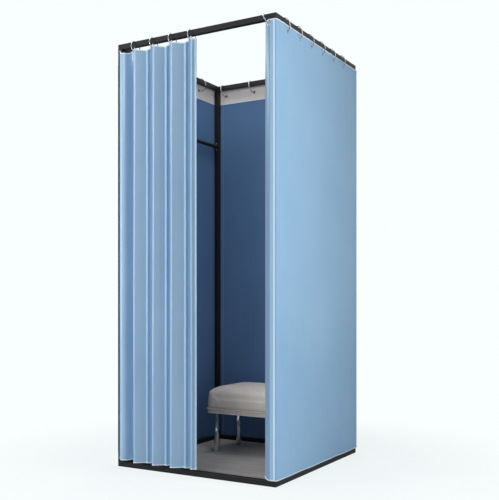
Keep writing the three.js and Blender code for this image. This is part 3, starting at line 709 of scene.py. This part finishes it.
endFold = [
    (0, 0, 0.1, 0.1), (0.08, 0, 0.6, 0.3), (0.16, 0.02, 1, 0.4), (0.24, 0.22, 0.5, 0.5), (0.32, 0.62, 0.1, 0.65),
    (0.39, 0.9, 0, 0.72), (0.45, 0.985, 0, 0.76), (0.52, 1, 0, 0.8), (0.59, 0.955, 0, 0.8), (0.67, 0.83, 0, 0.8),
    (0.76, 0.71, 0, 0.8), (0.85, 0.66, 0, 0.8), (0.93, 0.67, 0, 0.8), (1, 0.7, 0, 0.8),
]
crestShare = 0.74    # the part of a full pleat that leans with its crest
ringPlaces = [along for along, height in curtainEyelets]
firstWidth = ringPlaces[0] - curtain["edge"]
# a row of controls: place along, depth in metres, share of the full depth, share of the valley, share of the sag
controls = [(curtain["edge"] + a * firstWidth, o * curtain["firstDepth"], 0, b, d) for a, o, b, d in firstFold]
for ring, shift in zip(ringPlaces, curtain["crestShifts"]):
    controls += [(ring + (a + shift * math.sin(math.pi * min(a / crestShare, 1))) * curtain["pitch"], 0, o, b, d)
                 for a, o, b, d in fullFold[1:]]
controls += [(ringPlaces[-1] + a * curtain["endWidth"], o * curtain["endDepth"], 0, b, d)
             for a, o, b, d in endFold[1:]]
controls = np.array(controls)
lastKnot = len(controls) - 1
ringKnots = [len(firstFold) - 1 + i * (len(fullFold) - 1) for i in range(len(ringPlaces))]


def foldPlace(t, v):
    x, depth, share, valleyShare, sagShare = np.moveaxis(alongRows(controls, t), -1, 0)
    up = (v - curtain["bottom"]) / (hang["top"] - curtain["bottom"])
    foot, head = curtain["foldDepth"]
    fadeFrom, fadeOver = curtain["valleyFade"]
    valley = curtain["valleyDepth"] * (1 - curtain["valleyLoss"] * smoothStep((up - fadeFrom) / fadeOver))
    turnUp, turnAlong = curtain["driftTurns"]
    drift = (curtain["drift"] * np.sin(turnUp * v + turnAlong * x / curtain["pitch"])
             * smoothStep((fadeFrom - up) / curtain["driftFade"]))
    out = depth + share * (foot + (head - foot) * up)
    sag = sagShare * curtain["topSag"] * np.exp(-np.clip(hang["top"] - v, -0.01, 2) / curtain["sagFades"])
    return np.stack([x + drift * np.clip(out / foot, 0, 1),
                     wallFront - out * (1 + curtain["driftSwell"] * drift) + valleyShare * valley, v - sag], -1)


knotSteps = np.linspace(0, lastKnot, lastKnot * 30 + 1)
middleLine = foldPlace(knotSteps, np.full_like(knotSteps, 1.0))
lengthAt = np.concatenate([[0], np.cumsum(np.linalg.norm(np.diff(middleLine, axis=0), axis=1))])


def curtainPlace(s, v):  # s is the length along the cloth, from its fixed edge
    return foldPlace(np.interp(s, lengthAt, knotSteps), v)


curtainLength = float(lengthAt[-1])
curtainHoles = [(float(np.interp(knot, knotSteps, lengthAt)), height + curtain["holeRise"], holeRadius)
                for knot, (along, height) in zip(ringKnots, curtainEyelets)]
curtainKnots = [0] + ringKnots + [lastKnot]


def followRings(piece, part):  # the last length of cloth rides on the fourth ring's run; the others stay where they hang
    if part == 4:
        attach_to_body(piece, "curtain_run_4")
    else:
        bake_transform(piece)


for part in range(5):
    first, last = curtainKnots[part:part + 2]
    across = np.interp(np.linspace(first, last, (last - first) * curtain["steps"] + 1), knotSteps, lengthAt)
    holes = [hole for hole in curtainHoles if across[0] - 0.001 <= hole[0] <= across[-1] + 0.001]
    up = spacedLines(curtain["bottom"], hang["top"], curtain["rowStep"], sorted({hole[1] for hole in holes}))
    topReach, topCount = curtain["topRows"]
    up = np.unique(np.concatenate([up, np.linspace(hang["top"] - topReach, hang["top"], topCount)]))
    up = up[np.concatenate([[True], np.diff(up) > 0.0006])]
    cloth = clothPiece(f"curtainCloth{part + 1}", curtainPlace, across, up, holes,
                       [curtainCloth, curtainBackShaded, cutEdgeHighlight], hang["thickness"])
    endLines = {0: (hang["endSeam"],), 4: (curtainLength - hang["endSeam"],)}.get(part, ())
    trims = trimCloth(f"curtain{{}}{part + 1}", curtainPlace, across, across, holes, (curtain["bottom"], hang["top"]),
                      curtainTrim, endLines)
    if part < 4:
        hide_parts(f"curtain_{part + 1}")
    for piece in (cloth, *trims):
        followRings(piece, part)

for i, (along, height) in enumerate(curtainEyelets, 1):
    ring = growPiece(f"curtainRing{i}", pointSource([middleOf(f"curtain_ring_{i}")], [ringAlongX]), ringTree,
                     {"Finish": ringWireFinish})
    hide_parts(f"curtain_ring_{i}")
    eyelet = growPiece(f"curtainEyelet{i}", pointSource([(along, wallFront, height)], [facingY]), eyeletTree,
                       {"Finish": nickel})
    attach(f"curtain_run_{i}", "ring_wire", ring, eyelet)
print("curtain hung from", len(curtainEyelets), "rings")


# hook-and-loop tape that holds the cloth to the posts

def boxLoft(name, outlines, heights, materials):  # a closed skin through outlines of the same number of points
    vertices = [(x, y, z) for outline, z in zip(outlines, heights) for x, y in outline]
    return meshPiece(name, vertices, loftFaces(len(outlines), len(outlines[0])), materials)


def roundedOutline(width, depth, radius, middle=(0, 0), steps=6):
    x, y = width / 2 - radius, depth / 2 - radius
    return [(middle[0] + cornerX + radius * math.cos((q + i / steps) * math.pi / 2),
             middle[1] + cornerY + radius * math.sin((q + i / steps) * math.pi / 2))
            for q, (cornerX, cornerY) in enumerate([(x, y), (-x, y), (-x, -y), (x, -y)]) for i in range(steps + 1)]


hookLook = {"width": 0.018, "gap": 0.0002, "rounding": 0.0008, "heights": (0.07, 0.6, 1.3, 1.9)}
hookDepth, hookOut = hang["standOff"] - 2 * hookLook["gap"], hang["standOff"] / 2
for name, middle, size in [
    ("curtainHookTape", (-0.4125, -frameRear - hookOut), (hookLook["width"], hookDepth)),
    ("leftHookTape", (-frameRight - hookOut, -0.4195), (hookDepth, hookLook["width"])),
    ("rightHookTape", (frameRight + hookOut, -0.418), (hookDepth, hookLook["width"])),
]:
    outline = roundedOutline(*size, hookLook["rounding"], middle, 3)
    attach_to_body(boxLoft(name, [outline] * 4, hookLook["heights"], [hookTape]), "cabin")
print("hook-and-loop tapes on the posts")


# the stool

stoolTop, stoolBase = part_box("stool_cushion"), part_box("stool_seat_base")
stoolMiddle = tuple(middleOf("stool_cushion"))[:2]
weaveLook = {"cell": 0.0024, "slub": 0.011, "patch": 0.09, "bump": 0.0006}


def upholsteryMaterial(name, base, shade):
    # flat-woven wool mix: matt, warm grey, with a basket weave drawn at 2.4 mm
    material, tree = startMaterial(name)
    place = addNode(tree, "ShaderNodeTexCoord").outputs["Object"]
    cells = addNode(tree, "ShaderNodeTexVoronoi",
                    {"Scale": 1 / weaveLook["cell"], "Randomness": 0.45, "Vector": place})
    slub = addNoise(tree, place, weaveLook["slub"], 5.0, 0.65)
    patch = addNoise(tree, place, weaveLook["patch"], 2.0)
    tone = addNode(tree, "ShaderNodeMath", {0: slub, 1: patch}, operation="ADD")
    thread = addBump(tree, cells, 0.6, weaveLook["bump"])
    thread.invert = True
    look = {"Roughness": 0.88, "Specular IOR Level": 0.25, "Sheen Weight": 0.35, "Sheen Roughness": 0.5,
            "Sheen Tint": linear("#e6dfd8")}
    endMaterial(tree, look, (base, shade), tone, (0.7, 1.3), thread)
    return material


upholstery = upholsteryMaterial("flatWovenUpholstery", "#cdc6bf", "#bcb5ae")
pipingCloth = upholsteryMaterial("wovenPiping", "#d6d0ca", "#cbc5be")
# the thin black felt under a seat
dustCover = grainMaterial("blackDustCover", "#1c1c1e", "#28282a", 0.0015, 0.0003, {"Roughness": 0.95})

seat = {
    "width": 0.490, "depth": 0.320, "radius": 0.038,
    "inset": 0.0025,        # the pad swells, so it starts smaller
    "gap": 0.0003,
    "voxel": 0.0058,
    "pressure": 3.2,
    "seamHeight": 0.008,    # what the seam holds still
    "swell": 0.0025,        # how far a point of the skin may move
    "crownRise": 0.002,
    "frames": 18,
}
seatShares = np.array([(0.985, 0.0), (1.0, 0.05), (1.0, 0.3), (0.998, 0.5), (0.992, 0.62), (0.972, 0.71),
                       (0.92, 0.79), (0.83, 0.87), (0.66, 0.94), (0.38, 0.985), (0.08, 1.0)])


def cushionBody(name):
    low, high = stoolTop
    outline = np.array(roundedOutline(seat["width"] - 2 * seat["inset"], seat["depth"] - 2 * seat["inset"],
                                      seat["radius"], steps=10))
    last = len(seatShares) - 1
    rows = alongRows(seatShares, np.linspace(0, last, last * 4 + 1))
    height = high.z - low.z - 2 * seat["gap"]
    return boxLoft(name, [(outline * share + stoolMiddle).tolist() for share, up in rows],
                   [low.z + seat["gap"] + up * height for share, up in rows], [upholstery])


def shownMesh(piece):
    return bpy.data.meshes.new_from_object(piece.evaluated_get(bpy.context.evaluated_depsgraph_get()))


def swollen(piece):  # the skin blown against its seams by the foam, then held to a small move
    remesh = piece.modifiers.new("skin", "REMESH")
    remesh.mode = "VOXEL"
    remesh.voxel_size = seat["voxel"]
    mesh = shownMesh(piece)
    piece.modifiers.remove(remesh)
    piece.data = mesh
    rest = np.array([v.co for v in mesh.vertices])
    low, high = stoolTop
    held = piece.vertex_groups.new(name="seam")
    held.add([i for i, p in enumerate(rest) if p[2] < low.z + seat["seamHeight"]], 1.0, "REPLACE")
    skin = piece.modifiers.new("skin", "CLOTH")
    for setting, value in {"quality": 6, "mass": 0.25, "tension_stiffness": 18, "compression_stiffness": 18,
                           "bending_stiffness": 0.6, "use_pressure": True, "vertex_group_mass": "seam",
                           "uniform_pressure_force": seat["pressure"]}.items():
        setattr(skin.settings, setting, value)
    skin.settings.effector_weights.gravity = 0
    skin.collision_settings.use_collision = False
    skin.point_cache.frame_end = seat["frames"]
    for step in range(1, seat["frames"] + 1):
        scene.frame_set(step)
    moved = piece.evaluated_get(bpy.context.evaluated_depsgraph_get())
    shift = np.array([v.co for v in moved.data.vertices]) - rest
    piece.modifiers.remove(skin)
    scene.frame_set(1)
    far = np.linalg.norm(shift, axis=1, keepdims=True)
    points = rest + shift * np.minimum(1, seat["swell"] / np.maximum(far, 1e-9))
    points[:, 2] = np.clip(points[:, 2], low.z + seat["gap"], high.z + seat["crownRise"])
    mesh.vertices.foreach_set("co", points.astype(np.float32).ravel())
    mesh.update()
    finer = piece.modifiers.new("finer", "SUBSURF")
    finer.levels = finer.render_levels = 1
    final = shownMesh(piece)
    piece.modifiers.remove(finer)
    piece.vertex_groups.clear()
    piece.data = final
    return float(far.max())


cushion = cushionBody("stoolCushion")
print("cushion swelled by up to", round(swollen(cushion) * 1000, 1), "mm before the limit")
cushion.data.materials.clear()
cushion.data.materials.append(upholstery)
cushion.data.polygons.foreach_set("use_smooth", np.ones(len(cushion.data.polygons), bool))
cushion.data.name = "stoolCushion"
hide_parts("stool_cushion")

band = {"width": 0.484, "depth": 0.314, "radius": 0.035, "bulge": 0.0012}
bandHeight = stoolBase[1].z - stoolBase[0].z
bandRows = [(-0.006, 0.0), (-0.0022, 0.0004), (-0.0006, 0.0022), (0, 0.006), (band["bulge"], bandHeight / 2),
            (0, bandHeight - 0.006), (-0.0008, bandHeight - 0.0015), (-0.003, bandHeight)]    # out and up
bandOutlines = [roundedOutline(band["width"] + 2 * out, band["depth"] + 2 * out, band["radius"] + out, stoolMiddle, 8)
                for out, up in bandRows]
bandPiece = boxLoft("stoolBand", bandOutlines, [stoolBase[0].z + up for out, up in bandRows], [upholstery, dustCover])
bandPiece.data.polygons[-2].material_index = 1    # its underside
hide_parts("stool_seat_base")


def sweptCord(name, seam, inset, height, radius, sides=10):  # a closed piping round an outline
    points = np.array(roundedOutline(seam["width"] - inset, seam["depth"] - inset, seam["radius"], stoolMiddle, 12))
    ahead = unit(np.roll(points, -1, 0) - np.roll(points, 1, 0))
    outward = np.stack([ahead[:, 1], -ahead[:, 0]], 1)
    vertices, faces = [], []
    for i, (point, out) in enumerate(zip(points, outward)):
        for side in range(sides):
            angle = 2 * math.pi * side / sides
            across = radius * math.cos(angle)
            vertices.append((*(point + out * across), height + radius * math.sin(angle)))
            after = (i + 1) % len(points)
            faces.append((i * sides + side, after * sides + side,
                          after * sides + (side + 1) % sides, i * sides + (side + 1) % sides))
    return meshPiece(name, vertices, faces, [pipingCloth], sharpAngle=70)


piping = sweptCord("stoolPiping", seat, 0.001, stoolBase[1].z + 0.0004, 0.0024)
lowerPiping = sweptCord("stoolLowerPiping", band, 0.002, stoolBase[0].z + 0.0014, 0.0019)
attach("stool", "stool_upholstery", cushion, bandPiece, piping, lowerPiping)
print("stool upholstered")


# the floor mat: needle-punched carpet in fine ribs

carpet = {
    "pitch": 0.0083,
    "ribHeight": 0.0011,
    "edgeRound": 0.0012,
    "margin": 0.004,
    "wear": 0.00025,
    "streak": (0.16, 0.012, 0.01),
    "fibre": 0.0021,
    "pileBump": 0.0009,
}


def carpetMaterial(name, base, shade):
    # needle-punched felt: matt warm grey, with darker and lighter threads that run along the ribs
    material, tree = startMaterial(name)
    place = addNode(tree, "ShaderNodeTexCoord").outputs["Object"]
    streaked = addNode(tree, "ShaderNodeMapping",
                       {"Scale": tuple(1 / length for length in carpet["streak"]), "Vector": place})
    streak = addNoise(tree, streaked, 1, 4.0, 0.6)
    fibre = addNoise(tree, place, carpet["fibre"], 3.0, 0.7)
    tone = addNode(tree, "ShaderNodeMath", {0: fibre, 1: 0.4, 2: streak}, operation="MULTIPLY_ADD")
    pile = addBump(tree, fibre, 0.8, carpet["pileBump"])
    look = {"Roughness": 1.0, "Specular IOR Level": 0.15, "Sheen Weight": 0.25, "Sheen Roughness": 0.6}
    endMaterial(tree, look, (base, shade), tone, (0.5, 0.9), pile)
    return material


matCarpet = carpetMaterial("needlePunchedCarpet", "#9f9a95", "#837d79")
matLow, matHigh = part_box("floor_mat")
edgeRound, ribTop = carpet["edgeRound"], matHigh.z - carpet["ribHeight"]
ribs = np.arange(matLow.y + carpet["margin"], matHigh.y - carpet["margin"], carpet["pitch"] / 4)
profile = [(matLow.y, 0.0), (matLow.y, ribTop - edgeRound), (matLow.y + edgeRound, ribTop)]
profile += [(y, ribTop + carpet["ribHeight"] * (0.5 - 0.5 * math.cos(2 * math.pi * (y - ribs[0]) / carpet["pitch"])))
            for y in ribs]
profile += [(matHigh.y - edgeRound, ribTop), (matHigh.y, ribTop - edgeRound), (matHigh.y, 0.0)]
sections = np.linspace(matLow.x, matHigh.x, 40)
vertices = np.array([(x, y, z) for x in sections for y, z in profile])
x, y, z = vertices.T
unevenWave = np.sin(x * 31.0 + y * 57.0) * np.sin(x * 13.0 - y * 91.0)
vertices[:, 2] += np.where(z > ribTop + 0.0001, carpet["wear"] * (unevenWave - 1), 0)
faces = [tuple(reversed(face)) for face in loftFaces(len(sections), len(profile))]
mat = meshPiece("floorMat", vertices, faces, [matCarpet], sharpAngle=60)
attach("cabin", "mat_carpet", mat)
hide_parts("floor_mat")
print("mat laid")


# finishes of the pieces that stay as they are, and the brackets' screws

for name, node in nodes.items():
    if name.endswith("corner"):
        node.material_slots[0].material = mouldedNylon
    elif name.endswith(("rail", "post")) or "bracket" in name:
        node.material_slots[0].material = powderCoat
    elif name.startswith("stool_leg"):
        node.material_slots[0].material = chromePlate

screwTree, given = newTree("panHeadScrews", {"Head": 0.0032})
dome = addNode(screwTree, "GeometryNodeMeshUVSphere", {"Segments": 18, "Rings": 12, "Radius": given["Head"]})
low = addNode(screwTree, "GeometryNodeTransform", {"Geometry": dome, "Scale": (1, 1, 0.62)})
standOnPoints(screwTree, given, low)
screwLook = {"upDown": 0.0172, "inFromPost": 0.0025}
screwPlaces = []
for side, facing in (("front", 1), ("rear", -1)):
    bracket = f"clothes_rail_bracket_{side}"
    low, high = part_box(bracket)
    middle = middleOf(bracket)
    face = (low.y if facing > 0 else high.y) + facing * screwLook["inFromPost"]
    screwPlaces += [(middle.x, face, middle.z + way * screwLook["upDown"]) for way in (-1, 1)]
screws = growPiece("bracketScrews", pointSource(screwPlaces, [facingY] * 4), screwTree, {"Finish": chromePlate})
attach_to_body(screws, "cabin")
print("hard pieces finished")


# floor, light and camera

paper = "#f9ffff"    # the background's white
floorLook = {"size": 9.0, "below": -0.0004, "clearFrom": 0.6, "clearTo": 1.7}
floorMaterial, tree = startMaterial("paleFloor")
shader = addNode(tree, "ShaderNodeBsdfPrincipled",
                 {"Base Color": linear("#f6f6f5"), "Roughness": 0.9, "Specular IOR Level": 0.2})
place = addNode(tree, "ShaderNodeTexCoord").outputs["Object"]
distance = addNode(tree, "ShaderNodeVectorMath", {0: place}, operation="LENGTH").outputs["Value"]
faded = addNode(tree, "ShaderNodeMapRange", {"Value": distance, "From Min": floorLook["clearFrom"],
                                             "From Max": floorLook["clearTo"], "To Min": 0.82, "To Max": 1.0},
                interpolation_type="SMOOTHSTEP")
rays = addNode(tree, "ShaderNodeLightPath").outputs
seen = addNode(tree, "ShaderNodeMath", {0: faded, 1: rays["Is Camera Ray"]}, operation="MULTIPLY")
white = addNode(tree, "ShaderNodeEmission", {"Color": linear(paper), "Strength": 1.0})
mixed = addNode(tree, "ShaderNodeMixShader", {0: seen, 1: shader, 2: white})
addNode(tree, "ShaderNodeOutputMaterial", {"Surface": mixed})
corners = [(x * floorLook["size"], y * floorLook["size"], floorLook["below"])
           for x, y in ((-1, -1), (1, -1), (1, 1), (-1, 1))]
meshPiece("floor", corners, [(0, 1, 2, 3)], [floorMaterial])

scene.world = bpy.data.worlds.new("studio")
scene.world.use_nodes = True
tree = scene.world.node_tree
tree.nodes.clear()
rays = addNode(tree, "ShaderNodeLightPath").outputs
sharp = addNode(tree, "ShaderNodeMath", {0: rays["Is Camera Ray"], 1: rays["Is Glossy Ray"]},
                operation="ADD", use_clamp=True)
clear = addNode(tree, "ShaderNodeMath", {0: sharp, 1: rays["Is Transmission Ray"]}, operation="ADD", use_clamp=True)
dim = addNode(tree, "ShaderNodeBackground", {"Color": linear("#f3f7fb"), "Strength": 0.16})
bright = addNode(tree, "ShaderNodeBackground", {"Color": linear(paper), "Strength": 1.0})
mixed = addNode(tree, "ShaderNodeMixShader", {0: clear, 1: dim, 2: bright})
addNode(tree, "ShaderNodeOutputWorld", {"Surface": mixed})


def addLamp(name, place, target, width, height, power, spread=180):
    light = bpy.data.lights.new(name, "AREA")
    light.shape = "RECTANGLE"
    light.size, light.size_y = width, height
    light.energy = power
    light.spread = math.radians(spread)
    lamp = bpy.data.objects.new(name, light)
    lamp.location = place
    lamp.rotation_euler = (Vector(target) - Vector(place)).to_track_quat("-Z", "Y").to_euler()
    lamp.visible_camera = False
    scene.collection.objects.link(lamp)


addLamp("rightSide", (2.9, 0.0, 1.8), (0.43, -1.3, 1.4), 0.6, 2.9, 27, 100)
addLamp("leftFront", (-2.9, -3.6, 1.5), (-0.2, -0.45, 1.0), 0.7, 2.8, 98)
addLamp("frontHigh", (0.3, -4.0, 3.0), (-0.05, 0.1, 0.5), 1.4, 1.2, 51)
addLamp("overhead", (0.1, -0.1, 3.3), (0.0, 0.0, 0.0), 0.9, 0.9, 22)
addLamp("inside", (0.3, -0.36, 1.08), (-0.15, 0.3, 1.08), 0.12, 1.6, 3.1)
addLamp("rear", (-1.6, 3.4, 1.6), (0.0, 0.44, 1.0), 1.2, 2.4, 55)

# the photograph's camera: its focal length and horizon in pixels, on its side of 500 pixels
photo = {"side": 500, "focal": 781.27, "horizon": 299.83, "turn": 30.0576, "place": (1.973, -3.3348, 0.7897)}
camera = bpy.data.cameras.new("camera")
camera.sensor_width = 36
camera.lens = photo["focal"] * camera.sensor_width / photo["side"]
camera.shift_y = (photo["horizon"] - photo["side"] / 2) / photo["side"]
camera.clip_end = 60
viewer = bpy.data.objects.new("camera", camera)
viewer.location = photo["place"]
viewer.rotation_euler = Euler((math.pi / 2, 0, math.radians(photo["turn"])))
scene.collection.objects.link(viewer)
scene.camera = viewer
scene.view_settings.view_transform = "Standard"
print("stage set")
